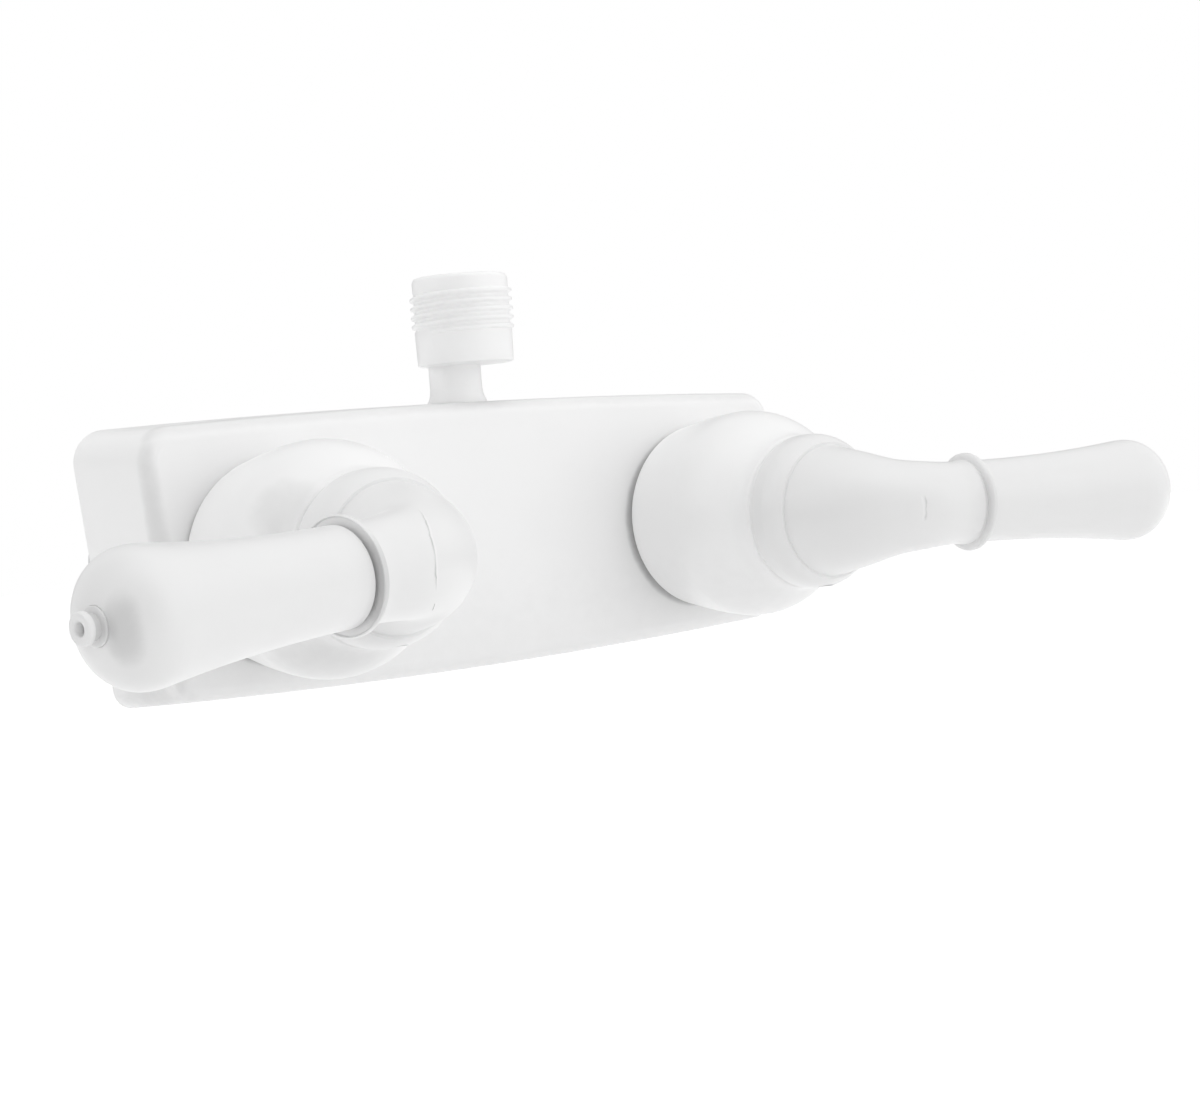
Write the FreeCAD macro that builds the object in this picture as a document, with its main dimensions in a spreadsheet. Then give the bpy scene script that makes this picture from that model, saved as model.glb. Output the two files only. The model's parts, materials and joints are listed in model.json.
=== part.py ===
import FreeCAD, Part
import math
import os
import Sketcher
from FreeCAD import Placement, Rotation, Vector

# Two-handle shower faucet for a wall: a shell over a one-piece waterway, a quarter-turn
# cartridge with a lever handle at each end, and a hose outlet on top.
# Origin on the wall plane midway between the inlets, +Z up, front towards -Y.

# Driving sizes in millimetres and degrees. "Out" is a distance from the wall plane.
driving = {
    # inlets and waterway
    "inletSpacing": 101.6,
    "shankRadius": 10.5,
    "shankLength": 38,
    "shankChamfer": 1.2,
    "inletBore": 6,
    "flangeRadius": 16.5,
    "flangeThickness": 3,
    "chamberRadius": 12,
    "chamberBore": 9.5,
    "chamberEnd": 46,
    "seatOut": 7,
    "crossTubeRadius": 7.5,
    "crossTubeBore": 4.5,
    "socketWall": 3.6,
    "socketBottom": 8,
    "socketTop": 24,
    "lugSpan": 50.8,
    "lugDrop": 12.5,
    "lugRadius": 4,
    "lugStart": 8,
    "lugEnd": 20,
    # shell
    "shellDepth": 26.2,
    "shellTopHalf": 78.2,
    "shellBottomHalf": 73.6,
    "shellHalfHeight": 26.4,
    "shellBow": 1.75,
    "shellEndDraft": 5,
    "shellTopDraft": 2.2,
    "shellBottomDraft": 5.4,
    "shellWall": 2.2,
    "shellEdgeRound": 2.8,
    "shellTopRound": 6.5,
    "shellBottomRound": 4,
    "shellClearance": 0.5,
    "bossRadius": 3.6,
    # outlet
    "neckOut": 13.9,
    "neckRadius": 5.35,
    "neckBore": 3,
    "flareRadius": 6.2,
    "flareHeight": 2.4,
    "headForward": 4.4,
    "headStart": 35.1,
    "headFloor": 3,
    "collarRadius": 9.8,
    "collarHeight": 7.6,
    "outletThreadRadius": 10.5,
    "outletTop": 52.9,
    "headBore": 6.4,
    "threadChamfer": 0.9,
    # round seals
    "sealSection": 1.5,
    "sealPlay": 0.03,
    "sealGrooveWidth": 2,
    "outletSealAt": 14,
    "stemSealAt": 30,
    "stemSealPitch": 6,
    # cartridge
    "runningGap": 0.05,
    "seatSealHeight": 3,
    "seatSealBore": 4.8,
    "discRadius": 7.5,
    "discThickness": 3,
    "discPortRadius": 2.4,
    "discPortOffset": 4.2,
    "sleeveNeckRadius": 8.4,
    "sleeveNeckEnd": 22,
    "sleeveWindowWidth": 6,
    "sleeveWindowHeight": 4,
    "stemFlange": 2.6,
    "driveLugHeight": 1.2,
    "driveLugWidth": 3,
    "driveLugReach": 5.5,
    "stemRadius": 4,
    "broachRadius": 3.6,
    "broachReach": 17,
    "broachFlat": 3,
    # bonnet nut
    "nutAcrossFlats": 29,
    "nutStart": 38,
    "nutPlate": 3,
    "nutNeckRadius": 8.9,
    "nutSetback": 1,
    # bell
    "bellRadius": 21.4,
    "bellFootRadius": 19.6,
    "bellFootRound": 4.5,
    "bellShoulderAt": 45,
    "bellShoulderRound": 17.7,
    "bellTop": 61,
    "bellTopRadius": 15.6,
    "bellTopPlate": 3,
    "bellTopEdge": 0.8,
    "bellWall": 2.4,
    # handle
    "handleGap": 0.4,
    "skirtRadius": 15.5,
    "skirtEdge": 0.8,
    "skirtHeight": 3.4,
    "skirtRound": 7,
    "hubRise": 4.1,
    "hubStep": 0.5,
    "hubRadius": 13.1,
    "elbowPinchAcross": 13.2,
    "elbowPinchRise": 3.4,
    "elbowRootRadius": 12.3,
    "elbowLowRadius": 10.9,
    "elbowLowReach": 11.8,
    "elbowHighRadius": 9.35,
    "elbowHighReach": 11.5,
    "leverRise": 12.4,
    "leverTilt": 13.1,
    "armRootAt": 10.8,
    "armRootRadius": 8.65,
    "armWaistAt": 15,
    "armWaistRadius": 8.3,
    "armEndRadius": 8.4,
    "armEnd": 19.5,
    "ringRadius": 9.75,
    "ringThickness": 1.3,
    "ringCollarRadius": 6.2,
    "ringGap": 0.7,
    "gripGap": 1.4,
    "gripRootRadius": 8.15,
    "gripWaistAt": 24,
    "bulbRadius": 10.4,
    "bulbAt": 60.1,
    "bulbBlend": 18,
    "gripEnd": 67.1,
    "gripShoulder": 4.4,
    "finialPlate": 0.8,
    "finialStepRadius": 2.8,
    "finialStep": 0.8,
    "finialKnobRadius": 2.15,
    "finialKnob": 1.2,
    "finialDimple": 1.45,
    "finialDimpleDepth": 0.5,
    "tieRodRadius": 2,
    "tieRodStart": 8,
    "setScrewRadius": 2,
    "setScrewLength": 7,
    "setScrewRise": 3.6,
    "socketRadius": 1,
    "socketDepth": 2.5,
    "hotRest": 2.9,
    "coldRest": 1.1,
    # how far a cutting outline runs past the solid
    "cutOverrun": 1,
    # shell screws
    "screwRadius": 1.5,
    "screwReach": 22.4,
    "screwHeadRadius": 3,
    "screwHeadHeight": 2.2,
}

doc = FreeCAD.newDocument("ShowerFaucet")
sheet = doc.addObject("Spreadsheet::Sheet", "Sizes")
for row, (alias, number) in enumerate(driving.items(), start=1):
    sheet.set(f"A{row}", alias)
    sheet.set(f"B{row}", str(number))
    sheet.setAlias(f"B{row}", alias)
doc.recompute()


class Size:
    """A length or angle: its number now, and the sheet formula that gives it."""

    def __init__(self, number, formula):
        self.number = number
        self.formula = formula

    def __float__(self):
        return float(self.number)

    def __add__(self, other):
        other = size_of(other)
        return Size(self.number + other.number, f"({self.formula} + {other.formula})")

    def __sub__(self, other):
        other = size_of(other)
        return Size(self.number - other.number, f"({self.formula} - {other.formula})")

    def __mul__(self, other):
        other = size_of(other)
        return Size(self.number * other.number, f"({self.formula} * {other.formula})")

    def __truediv__(self, other):
        other = size_of(other)
        return Size(self.number / other.number, f"({self.formula} / {other.formula})")

    def __neg__(self):
        return Size(-self.number, f"(0 - {self.formula})")


def size_of(thing):
    return thing if isinstance(thing, Size) else Size(thing, repr(thing))


def tan_of(angle):
    return Size(math.tan(math.radians(angle.number)), f"tan({angle.formula} * 1 deg)")


def sin_of(angle):
    return Size(math.sin(math.radians(angle.number)), f"sin({angle.formula} * 1 deg)")


def cos_of(angle):
    return Size(math.cos(math.radians(angle.number)), f"cos({angle.formula} * 1 deg)")


class Sheet:
    """The driving sizes by name, each tied to its cell."""

    def __getattr__(self, alias):
        return Size(float(getattr(sheet, alias)), "Sizes." + alias)


s = Sheet()


def bind(thing, path, size):
    thing.setExpression(path, size_of(size).formula)


def new_body(label, placement=None, position=(0, 0, 0)):
    """A body whose own Z axis points out of the wall, unless it is given another placement."""
    body = doc.addObject("PartDesign::Body", label)
    body.Label = label
    body.Placement = placement or out_of_wall
    for axis, offset in zip("xyz", position):
        if isinstance(offset, Size):
            bind(body, f"Placement.Base.{axis}", offset)
    return body


out_of_wall = Placement(Vector(), Rotation(Vector(1, 0, 0), 90))


def new_sketch(body, role, name, shift=(0, 0, 0), turn=0, turn_axis=Vector(0, 0, 1)):
    """A sketch on one of the body's own origin planes, shifted and turned in that plane's frame."""
    sketch = body.newObject("Sketcher::SketchObject", name)
    plane = next(item for item in body.Origin.OriginFeatures if item.Role == role)
    sketch.AttachmentSupport = [(plane, "")]
    sketch.MapMode = "FlatFace"
    sketch.AttachmentOffset = Placement(Vector(), Rotation(turn_axis, float(turn)))
    if isinstance(turn, Size):
        bind(sketch, "AttachmentOffset.Rotation.Angle", turn)
    for axis, offset in zip("xyz", shift):
        if isinstance(offset, Size):
            bind(sketch, f"AttachmentOffset.Base.{axis}", offset)
    return sketch


def constrain(sketch, kind, *where, size):
    size = size_of(size)
    number = sketch.addConstraint(Sketcher.Constraint(kind, *where, float(size)))
    if "Sizes" in size.formula:
        sketch.setExpression(f"Constraints[{number}]", size.formula)


def arc_side(start, end, radius, turn):
    """The shorter arc from start to end, turning left (1) or right (-1)."""
    middle = (start + end) * 0.5
    chord = end - start
    rise = math.sqrt(max(radius ** 2 - (chord.Length / 2) ** 2, 0))
    across = Vector(-chord.y, chord.x, 0).normalize() * turn
    centre = middle + across * rise
    first, last = (start, end) if turn > 0 else (end, start)
    angles = [math.atan2(point.y - centre.y, point.x - centre.x) for point in (first, last)]
    if angles[1] < angles[0]:
        angles[1] += 2 * math.pi
    return Part.ArcOfCircle(Part.Circle(centre, Vector(0, 0, 1), radius), *angles)


def draw(sketch, outline):
    """A closed outline through its corners (x, y). A corner (x, y, radius, turn) starts an arc."""
    sides = []
    for corner, following in zip(outline, outline[1:] + outline[:1]):
        start = Vector(float(corner[0]), float(corner[1]), 0)
        end = Vector(float(following[0]), float(following[1]), 0)
        if len(corner) == 2:
            side = sketch.addGeometry(Part.LineSegment(start, end), False)
            sides.append((side, 1, 2))
        else:
            radius, turn = corner[2:]
            side = sketch.addGeometry(arc_side(start, end, float(radius), turn), False)
            sides.append((side, 1, 2) if turn > 0 else (side, 2, 1))
    for corner, (side, first, last), (previous, start, end) in zip(outline, sides, sides[-1:] + sides[:-1]):
        sketch.addConstraint(Sketcher.Constraint("Coincident", previous, end, side, first))
        for kind, axis, place in (("DistanceX", -2, corner[0]), ("DistanceY", -1, corner[1])):
            if isinstance(place, Size):
                constrain(sketch, kind, -1, 1, side, first, size=place)
            else:
                sketch.addConstraint(Sketcher.Constraint("PointOnObject", side, first, axis))
        if len(corner) > 2:
            constrain(sketch, "Radius", side, size=corner[2])


def draw_circle(sketch, x, y, radius):
    round_line = Part.Circle(Vector(float(x), float(y), 0), Vector(0, 0, 1), float(radius))
    circle = sketch.addGeometry(round_line, False)
    for kind, axis, place in (("DistanceX", -2, x), ("DistanceY", -1, y)):
        if isinstance(place, Size):
            constrain(sketch, kind, -1, 1, circle, 3, size=place)
        else:
            sketch.addConstraint(Sketcher.Constraint("PointOnObject", circle, 3, axis))
    constrain(sketch, "Radius", circle, size=radius)


def turn_profile(body, outline, name, cut=False, axis="V_Axis", **where):
    """Revolves an outline of (radius, height) corners about the sketch's own axis."""
    sketch = new_sketch(body, "XZ_Plane", name + "_outline", **where)
    draw(sketch, outline)
    feature = body.newObject("PartDesign::Groove" if cut else "PartDesign::Revolution", name)
    feature.Profile = sketch
    feature.ReferenceAxis = (sketch, [axis])
    feature.Angle = 360
    return feature


def extrude(body, sketch, name, length, cut=False, reverse=False, both=False):
    feature = body.newObject("PartDesign::Pocket" if cut else "PartDesign::Pad", name)
    feature.Profile = sketch
    feature.SideType = "Symmetric" if both else "One side"
    feature.Reversed = reverse
    bind(feature, "Length", length)
    return feature


def ogee(low, high, first_round):
    """Corners of an S-curve that leaves low and reaches high parallel to the axis."""
    step = low[0] - high[0]
    rise = high[1] - low[1]
    both_rounds = (step * step + rise * rise) / (step * 2)
    share = first_round / both_rounds
    middle = (low[0] - step * share, low[1] + rise * share)
    return middle, both_rounds - first_round


# Waterway: flanged inlet shanks, valve chambers, cross tube, outlet socket and screw lugs
def make_waterway():
    body = new_body("waterway_body")
    tube = new_sketch(body, "YZ_Plane", "cross_tube_section")
    draw_circle(tube, 0, s.neckOut, s.crossTubeRadius)
    extrude(body, tube, "cross_tube", s.inletSpacing, both=True)
    shank = [
        (0, -s.shankLength),
        (s.shankRadius - s.shankChamfer, -s.shankLength),
        (s.shankRadius, s.shankChamfer - s.shankLength),
        (s.shankRadius, 0),
        (s.flangeRadius, 0),
        (s.flangeRadius, s.flangeThickness),
        (s.chamberRadius, s.flangeThickness),
        (s.chamberRadius, s.chamberEnd),
        (0, s.chamberEnd),
    ]
    bore = [
        (0, -s.shankLength),
        (s.inletBore, -s.shankLength),
        (s.inletBore, s.seatOut),
        (s.chamberBore, s.seatOut),
        (s.chamberBore, s.chamberEnd),
        (0, s.chamberEnd),
    ]
    for side, name in ((-1, "hot"), (1, "cold")):
        turn_profile(body, shank, f"{name}_shank", shift=(s.inletSpacing * side / 2, 0, 0))
    socket = new_sketch(body, "XZ_Plane", "socket_section")
    draw_circle(socket, 0, s.neckOut, s.neckRadius + s.socketWall)
    extrude(body, socket, "outlet_socket", s.socketTop, reverse=True)
    for side, name in ((-1, "hot"), (1, "cold")):
        lug = new_sketch(body, "XY_Plane", f"{name}_lug_section", shift=(0, 0, s.lugStart))
        edge = s.lugSpan * side / 2
        draw(lug, [
            (edge - s.lugRadius, -s.lugDrop, s.lugRadius, 1),
            (edge, -s.lugDrop - s.lugRadius, s.lugRadius, 1),
            (edge + s.lugRadius, -s.lugDrop),
            (edge + s.lugRadius, -s.crossTubeRadius / 2),
            (edge - s.lugRadius, -s.crossTubeRadius / 2),
        ])
        extrude(body, lug, f"{name}_lug", s.lugEnd - s.lugStart)
    for side, name in ((-1, "hot"), (1, "cold")):
        turn_profile(body, bore, f"{name}_bore", cut=True, shift=(s.inletSpacing * side / 2, 0, 0))
    passage = new_sketch(body, "YZ_Plane", "passage_section")
    draw_circle(passage, 0, s.neckOut, s.crossTubeBore)
    extrude(body, passage, "passage", s.inletSpacing - s.chamberBore, cut=True, both=True)
    hole = new_sketch(body, "XZ_Plane", "socket_bore_section", shift=(0, 0, -s.socketTop))
    draw_circle(hole, 0, s.neckOut, s.neckRadius + s.runningGap)
    extrude(body, hole, "socket_bore", s.socketTop - s.socketBottom, cut=True, reverse=True)
    drop = new_sketch(body, "XZ_Plane", "socket_port_section", shift=(0, 0, -s.socketTop))
    draw_circle(drop, 0, s.neckOut, s.neckBore)
    extrude(body, drop, "socket_port", s.socketTop, cut=True, reverse=True)
    holes = new_sketch(body, "XY_Plane", "lug_holes_section", shift=(0, 0, s.lugStart))
    for side in (-1, 1):
        draw_circle(holes, s.lugSpan * side / 2, -s.lugDrop, s.screwRadius + s.runningGap)
    extrude(body, holes, "lug_holes", s.lugEnd - s.lugStart, cut=True, reverse=True)
    return body


# Shell: bowed top and bottom, leaning ends, drafted walls, hollow and open at the wall
def named(feature, kind, chosen):
    """Names of a feature's faces or edges that a test picks out."""
    items = getattr(feature.Shape, kind + "s")
    return [f"{kind}{number}" for number, item in enumerate(items, start=1) if chosen(item)]


def draft_faces(body, name, base, chosen, angle):
    draft = body.newObject("PartDesign::Draft", name)
    draft.Base = (base, named(base, "Face", chosen))
    wall_plane = next(item for item in body.Origin.OriginFeatures if item.Role == "XY_Plane")
    draft.NeutralPlane = (wall_plane, [""])
    bind(draft, "Angle", angle)
    doc.recompute()
    return draft


def round_edges(body, name, base, chosen, radius):
    fillet = body.newObject("PartDesign::Fillet", name)
    fillet.Base = (base, named(base, "Edge", chosen))
    bind(fillet, "Radius", radius)
    doc.recompute()
    return fillet


def leans_out(edge, high):
    """An edge that runs from the wall to the front, in the top half or the bottom half."""
    first, last = edge.Vertexes[0].Point, edge.Vertexes[-1].Point
    from_wall_to_front = abs(first.z - last.z) > float(s.shellDepth) / 2
    return from_wall_to_front and (edge.CenterOfMass.y > 0) == high


def bowed(half_width):
    """Radius of an arc as wide as the shell that rises by the shell's bow."""
    return half_width * half_width / (s.shellBow * 2) + s.shellBow / 2


def shell_block(body, name, inset, depth):
    """The shell's outer form, or its cavity when it is inset, with its corners rounded."""
    top_half = s.shellTopHalf - inset
    bottom_half = s.shellBottomHalf - inset
    half_height = s.shellHalfHeight - inset
    section = new_sketch(body, "XY_Plane", f"{name}_section")
    draw(section, [
        (-bottom_half, -half_height, bowed(bottom_half), 1),
        (bottom_half, -half_height),
        (top_half, half_height, bowed(top_half), 1),
        (-top_half, half_height),
    ])
    block = extrude(body, section, name, depth)
    doc.recompute()
    near_end = float(bottom_half) / 2
    near_edge = float(half_height) / 2
    faces = {
        "ends": (lambda face: abs(face.CenterOfMass.x) > near_end, s.shellEndDraft),
        "top": (lambda face: face.CenterOfMass.y > near_edge, s.shellTopDraft),
        "bottom": (lambda face: face.CenterOfMass.y < -near_edge, s.shellBottomDraft),
    }
    for place, (chosen, angle) in faces.items():
        block = draft_faces(body, f"{name}_{place}_draft", block, chosen, angle)
    for place, high, radius in (("top", True, s.shellTopRound), ("bottom", False, s.shellBottomRound)):
        corners = f"{name}_{place}_corners"
        block = round_edges(body, corners, block, lambda edge: leans_out(edge, high), radius - inset)
    return block


def make_shell():
    body = new_body("body_shell")
    block = shell_block(body, "outside", size_of(0), s.shellDepth)
    front = float(s.shellDepth)
    round_edges(
        body, "front_edge", block,
        lambda edge: all(abs(vertex.Point.z - front) < 0.01 for vertex in edge.Vertexes), s.shellEdgeRound,
    )
    cavity = new_body("shell_cavity", Placement())
    shell_block(cavity, "inside", s.shellWall, s.shellDepth - s.shellWall)
    hollow = body.newObject("PartDesign::Boolean", "hollow")
    hollow.Type = "Cut"
    hollow.setObjects([cavity])
    doc.recompute()
    chambers = new_sketch(body, "XY_Plane", "chamber_holes_section", shift=(0, 0, s.shellDepth))
    for side in (-1, 1):
        draw_circle(chambers, s.inletSpacing * side / 2, 0, s.chamberRadius + s.shellClearance)
    extrude(body, chambers, "chamber_holes", s.shellWall * 2, cut=True)
    above_top = -s.shellHalfHeight - s.shellBow
    outlet = new_sketch(body, "XZ_Plane", "outlet_hole_section", shift=(0, 0, above_top))
    draw_circle(outlet, 0, s.neckOut, s.neckRadius + s.shellClearance)
    extrude(body, outlet, "outlet_hole", s.shellWall * 2 + s.shellBow, cut=True, reverse=True)
    bosses = new_sketch(body, "XY_Plane", "bosses_section", shift=(0, 0, s.lugEnd))
    for side in (-1, 1):
        draw_circle(bosses, s.lugSpan * side / 2, -s.lugDrop, s.bossRadius)
    extrude(body, bosses, "bosses", s.shellDepth - s.shellWall / 2 - s.lugEnd)
    pilots = new_sketch(body, "XY_Plane", "pilots_section", shift=(0, 0, s.lugEnd))
    for side in (-1, 1):
        draw_circle(pilots, s.lugSpan * side / 2, -s.lugDrop, s.screwRadius + s.runningGap)
    extrude(body, pilots, "pilots", s.screwReach - s.lugEnd + s.shellClearance, cut=True, reverse=True)
    return body


def make_shell_screws():
    """Two pan-head screws through the lugs, one body each, written as one group."""
    screws = []
    for side, name in ((-1, "hot"), (1, "cold")):
        screw = new_body(f"shell_screw_{name}", position=(s.lugSpan * side / 2, 0, -s.lugDrop))
        turn_profile(screw, [
            (0, s.lugStart - s.screwHeadHeight),
            (s.screwHeadRadius - s.shellClearance, s.lugStart - s.screwHeadHeight),
            (s.screwHeadRadius, s.lugStart - s.screwHeadHeight + s.shellClearance),
            (s.screwHeadRadius, s.lugStart),
            (s.screwRadius, s.lugStart),
            (s.screwRadius, s.screwReach),
            (0, s.screwReach),
        ], "screw")
        screws.append(screw)
    group = doc.addObject("Part::Compound", "shell_screws")
    group.Label = "shell_screws"
    group.Links = screws
    return group


# Seal grooves leave the seal a little play to the bore and to its seat
outlet_groove = s.neckRadius + s.runningGap - s.sealSection - s.sealPlay * 2
stem_groove = s.stemRadius + s.runningGap - s.sealSection - s.sealPlay * 2
seals_per_stem = 2


# Outlet: a neck plugged into the waterway, and an offset head with the hose thread's envelope
def make_outlet():
    upright = Placement(Vector(), Rotation())
    body = new_body("outlet_spigot", upright, position=(0, -s.neckOut, 0))
    flare_start = s.shellHalfHeight + s.shellBow - s.neckOut * tan_of(s.shellTopDraft) + s.shellClearance / 2
    bottom = s.socketBottom + s.shellClearance
    half = s.sealGrooveWidth / 2
    turn_profile(body, [
        (0, bottom),
        (s.neckRadius, bottom),
        (s.neckRadius, s.outletSealAt - half),
        (outlet_groove, s.outletSealAt - half),
        (outlet_groove, s.outletSealAt + half),
        (s.neckRadius, s.outletSealAt + half),
        (s.neckRadius, flare_start),
        (s.flareRadius, flare_start),
        (s.neckRadius, flare_start + s.flareHeight),
        (s.neckRadius, s.headStart + s.shellClearance),
        (0, s.headStart + s.shellClearance),
    ], "neck")
    thread_start = s.headStart + s.collarHeight
    turn_profile(body, [
        (0, s.headStart),
        (s.collarRadius - s.threadChamfer / 2, s.headStart),
        (s.collarRadius, s.headStart + s.threadChamfer / 2),
        (s.collarRadius, thread_start),
        (s.outletThreadRadius, thread_start + s.threadChamfer),
        (s.outletThreadRadius, s.outletTop - s.threadChamfer),
        (s.outletThreadRadius - s.threadChamfer, s.outletTop),
        (0, s.outletTop),
    ], "head", shift=(0, 0, s.headForward))
    bore_start = s.headStart + s.headFloor
    turn_profile(body, [
        (0, bore_start), (s.headBore, bore_start), (s.headBore, s.outletTop), (0, s.outletTop),
    ], "head_bore", cut=True, shift=(0, 0, s.headForward))
    bore_end = bore_start + s.cutOverrun
    turn_profile(body, [
        (0, bottom), (s.neckBore, bottom), (s.neckBore, bore_end), (0, bore_end),
    ], "neck_bore", cut=True)
    return body


def make_seal_ring(label, inner, placement=None, position=(0, 0, 0)):
    """A round-section seal in its groove, drawn as a full ring."""
    ring = doc.addObject("Part::Torus", label)
    ring.Label = label
    ring.Placement = placement or out_of_wall
    bind(ring, "Radius1", inner + s.sealPlay + s.sealSection / 2)
    bind(ring, "Radius2", s.sealSection / 2)
    for axis, offset in zip("xyz", position):
        if isinstance(offset, Size):
            bind(ring, f"Placement.Base.{axis}", offset)
    return ring


# Cartridge: seat seal, fixed and moving discs, sleeve, stem and bonnet nut
disc_start = s.seatOut + s.seatSealHeight
moving_start = disc_start + s.discThickness
flange_start = moving_start + s.discThickness
flange_end = flange_start + s.stemFlange
broach_start = s.bellTop - s.nutSetback
broach_end = s.bellTop + s.broachReach
sleeve_bore = s.discRadius + s.runningGap * 2
stem_bore = s.stemRadius + s.runningGap


def make_seat_seal(label, position):
    body = new_body(label, position=position)
    rim = s.sealSection / 3
    turn_profile(body, [
        (s.seatSealBore, s.seatOut),
        (s.discRadius - rim, s.seatOut),
        (s.discRadius, s.seatOut + rim),
        (s.discRadius, disc_start),
        (s.seatSealBore, disc_start),
    ], "seal")
    return body


def make_disc(label, position, start, angle, slots):
    """A ceramic disc with two round ports, and drive slots in its outer face where slots is true."""
    placement = out_of_wall * Placement(Vector(), Rotation(Vector(0, 0, 1), angle))
    body = new_body(label, placement, position=position)
    section = new_sketch(body, "XY_Plane", "disc_section", shift=(0, 0, start))
    draw_circle(section, 0, 0, s.discRadius)
    for side in (-1, 1):
        draw_circle(section, s.discPortOffset * side, 0, s.discPortRadius)
    extrude(body, section, "disc", s.discThickness)
    if slots:
        slot = new_sketch(body, "XY_Plane", "slot_section", shift=(0, 0, start + s.discThickness))
        half = s.driveLugWidth / 2 + s.runningGap
        edge = s.discRadius + s.cutOverrun
        draw(slot, [(-half, -edge), (half, -edge), (half, edge), (-half, edge)])
        extrude(body, slot, "drive_slot", s.driveLugHeight + s.runningGap, cut=True)
    return body


def make_sleeve(label, position):
    body = new_body(label, position=position)
    turn_profile(body, [
        (sleeve_bore, disc_start),
        (s.sleeveNeckRadius, disc_start),
        (s.sleeveNeckRadius, s.sleeveNeckEnd),
        (s.chamberBore - s.runningGap, s.sleeveNeckEnd),
        (s.chamberBore - s.runningGap, s.chamberEnd),
        (stem_bore, s.chamberEnd),
        (stem_bore, flange_end + s.runningGap),
        (sleeve_bore, flange_end + s.runningGap),
    ], "sleeve")
    window = new_sketch(body, "YZ_Plane", "window_section")
    half = s.sleeveWindowWidth / 2
    low = flange_start - s.sleeveWindowHeight / 2
    high = low + s.sleeveWindowHeight
    draw(window, [(-half, low), (half, low), (half, high), (-half, high)])
    extrude(body, window, "windows", s.chamberRadius * 2, cut=True, both=True)
    return body


def make_stem(label, position, angle):
    placement = out_of_wall * Placement(Vector(), Rotation(Vector(0, 0, 1), angle))
    body = new_body(label, placement, position=position)
    outline = [
        (0, flange_start),
        (s.discRadius, flange_start),
        (s.discRadius, flange_end),
        (s.stemRadius, flange_end),
    ]
    for number in range(seals_per_stem):
        low = s.stemSealAt + s.stemSealPitch * number - s.sealGrooveWidth / 2
        high = low + s.sealGrooveWidth
        outline += [(s.stemRadius, low), (stem_groove, low), (stem_groove, high), (s.stemRadius, high)]
    outline += [
        (s.stemRadius, broach_start),
        (s.broachRadius, broach_start + s.shellClearance),
        (s.broachRadius, broach_end - s.shellClearance),
        (s.broachRadius - s.shellClearance, broach_end),
        (0, broach_end),
    ]
    turn_profile(body, outline, "stem")
    lug = new_sketch(body, "XY_Plane", "lug_section", shift=(0, 0, flange_start))
    half = s.driveLugWidth / 2
    edge = s.driveLugReach
    draw(lug, [(-half, -edge), (half, -edge), (half, edge), (-half, edge)])
    extrude(body, lug, "drive_lug", s.driveLugHeight, reverse=True)
    flat = new_sketch(body, "XY_Plane", "flat_section", shift=(0, 0, broach_end))
    reach = s.stemRadius + s.cutOverrun
    draw(flat, [(s.broachFlat, -reach), (reach, -reach), (reach, reach), (s.broachFlat, reach)])
    extrude(body, flat, "broach_flat", broach_end - broach_start - s.shellClearance, cut=True)
    return body


nut_sides = 6


def make_bonnet_nut(label, position):
    body = new_body(label, position=position)
    prism = body.newObject("PartDesign::AdditivePrism", "hexagon")
    prism.Polygon = nut_sides
    bind(prism, "Circumradius", s.nutAcrossFlats / 2 / cos_of(size_of(180 / nut_sides)))
    bind(prism, "Height", s.chamberEnd + s.nutPlate - s.nutStart)
    bind(prism, "Placement.Base.z", s.nutStart)
    plate_end = s.chamberEnd + s.nutPlate
    turn_profile(body, [
        (0, plate_end - s.shellClearance),
        (s.nutNeckRadius, plate_end - s.shellClearance),
        (s.nutNeckRadius, broach_start),
        (0, broach_start),
    ], "neck")
    turn_profile(body, [
        (0, s.nutStart),
        (s.chamberRadius + s.runningGap, s.nutStart),
        (s.chamberRadius + s.runningGap, s.chamberEnd),
        (s.stemRadius + s.handleGap, s.chamberEnd),
        (s.stemRadius + s.handleGap, broach_start),
        (0, broach_start),
    ], "nut_bore", cut=True)
    return body


# Bell: barrel foot with a rolled edge, shoulder and neck in one S-curve, seated on the shell
def make_bell(label, position):
    body = new_body(label, position=position)
    shoulder = (s.bellRadius, s.bellShoulderAt)
    crown = (s.bellTopRadius, s.bellTop - s.bellTopEdge)
    middle, neck_round = ogee(shoulder, crown, s.bellShoulderRound)
    centre = (s.bellRadius - s.bellShoulderRound, s.bellShoulderAt)
    share = (s.bellShoulderRound - s.bellWall) / s.bellShoulderRound
    inner_middle = [place + (edge - place) * share for place, edge in zip(centre, middle)]
    plate = s.bellTop - s.bellTopPlate
    barrel = s.bellShoulderAt - s.shellDepth
    barrel_round = barrel * barrel / ((s.bellRadius - s.bellFootRadius) * 2)
    turn_profile(body, [
        (s.bellFootRadius - s.bellFootRound, s.shellDepth, s.bellFootRound, 1),
        (s.bellFootRadius, s.shellDepth + s.bellFootRound, barrel_round, 1),
        (s.bellRadius, s.bellShoulderAt, s.bellShoulderRound, 1),
        (middle[0], middle[1], neck_round, -1),
        (crown[0], crown[1], s.bellTopEdge, 1),
        (s.bellTopRadius - s.bellTopEdge, s.bellTop),
        (s.nutNeckRadius + s.runningGap, s.bellTop),
        (s.nutNeckRadius + s.runningGap, plate),
        (s.bellTopRadius - s.bellWall, plate),
        (inner_middle[0], inner_middle[1], s.bellShoulderRound - s.bellWall, -1),
        (s.bellRadius - s.bellWall, s.bellShoulderAt),
        (s.bellFootRadius - s.bellWall, s.shellDepth + s.bellFootRound),
        (s.bellFootRadius - s.bellFootRound - s.bellWall / 2, s.shellDepth),
    ], "bell")
    return body


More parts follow.
